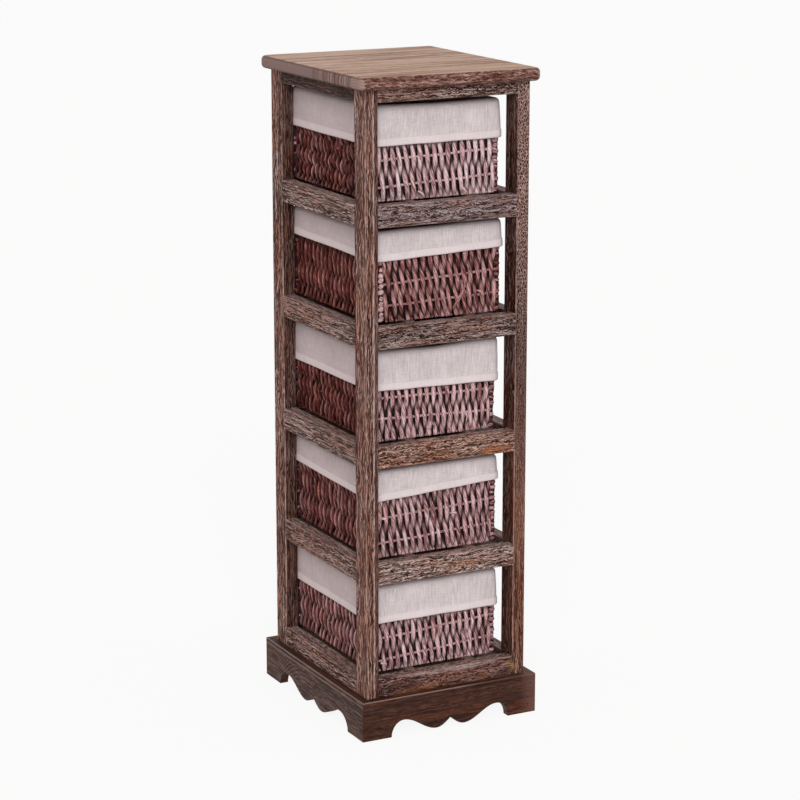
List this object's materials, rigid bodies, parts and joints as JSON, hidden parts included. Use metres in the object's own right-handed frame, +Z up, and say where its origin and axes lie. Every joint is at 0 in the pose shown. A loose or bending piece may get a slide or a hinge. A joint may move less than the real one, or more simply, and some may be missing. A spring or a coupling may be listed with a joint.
{
  "type": "bathroom storage tower",
  "caption": "Tall open wooden bathroom storage tower with recessed shelves, a scalloped plinth and lined wicker baskets that pull out at the front.",
  "frame": {"origin": "middle of the tower's footprint at floor level", "axes": "+Z up, -Y towards the front where the baskets pull out, +X to the right seen from the front"},
  "size_m": [0.29, 0.338, 0.97],
  "materials": {
    "top_wood": "limed, pale grey-brown, satin",
    "frame_wood": "dark stain with limed grain, satin",
    "plinth_wood": "dark stain with limed grain, satin",
    "shelf_wood": "dark stain, matt",
    "dowel_wood": "plain beech",
    "screw_steel": "plain",
    "wicker": "stained twisted rush, matt",
    "wicker_border": "stained twisted rush, matt",
    "liner_cloth": "off-white cotton, matt"
  },
  "bodies": {
    "frame": {"top_board": "top_wood", "post_front_left": "frame_wood", "post_front_right": "frame_wood", "post_rear_left": "frame_wood", "post_rear_right": "frame_wood", "top_rail_front": "frame_wood", "top_rail_rear": "frame_wood", "top_rail_left": "frame_wood", "top_rail_right": "frame_wood", "rail_1_front": "frame_wood", "rail_1_rear": "frame_wood", "rail_1_left": "frame_wood", "rail_1_right": "frame_wood", "rail_2_front": "frame_wood", "rail_2_rear": "frame_wood", "rail_2_left": "frame_wood", "rail_2_right": "frame_wood", "rail_3_front": "frame_wood", "rail_3_rear": "frame_wood", "rail_3_left": "frame_wood", "rail_3_right": "frame_wood", "rail_4_front": "frame_wood", "rail_4_rear": "frame_wood", "rail_4_left": "frame_wood", "rail_4_right": "frame_wood", "rail_5_front": "frame_wood", "rail_5_rear": "frame_wood", "rail_5_left": "frame_wood", "rail_5_right": "frame_wood", "shelf_panel_1": "shelf_wood", "shelf_panel_2": "shelf_wood", "shelf_panel_3": "shelf_wood", "shelf_panel_4": "shelf_wood", "shelf_panel_5": "shelf_wood", "runners_1": "shelf_wood", "runners_2": "shelf_wood", "runners_3": "shelf_wood", "runners_4": "shelf_wood", "runners_5": "shelf_wood", "apron_front": "plinth_wood", "apron_rear": "plinth_wood", "apron_left": "plinth_wood", "apron_right": "plinth_wood", "dowels": "dowel_wood", "screws": "screw_steel"},
    "basket_1": {"basket_1_weave": "wicker", "basket_1_border": "wicker_border", "basket_1_liner": "liner_cloth"},
    "basket_2": {"basket_2_weave": "wicker", "basket_2_border": "wicker_border", "basket_2_liner": "liner_cloth"},
    "basket_3": {"basket_3_weave": "wicker", "basket_3_border": "wicker_border", "basket_3_liner": "liner_cloth"},
    "basket_4": {"basket_4_weave": "wicker", "basket_4_border": "wicker_border", "basket_4_liner": "liner_cloth"},
    "basket_5": {"basket_5_weave": "wicker", "basket_5_border": "wicker_border", "basket_5_liner": "liner_cloth"}
  },
  "joints": [
    {"name": "basket_1_slide", "type": "slide", "parent": "frame", "child": "basket_1", "axis": [0, -1, 0], "range_m": [0, 0.3]},
    {"name": "basket_2_slide", "type": "slide", "parent": "frame", "child": "basket_2", "axis": [0, -1, 0], "range_m": [0, 0.3]},
    {"name": "basket_3_slide", "type": "slide", "parent": "frame", "child": "basket_3", "axis": [0, -1, 0], "range_m": [0, 0.3]},
    {"name": "basket_4_slide", "type": "slide", "parent": "frame", "child": "basket_4", "axis": [0, -1, 0], "range_m": [0, 0.3]},
    {"name": "basket_5_slide", "type": "slide", "parent": "frame", "child": "basket_5", "axis": [0, -1, 0], "range_m": [0, 0.3]}
  ]
}
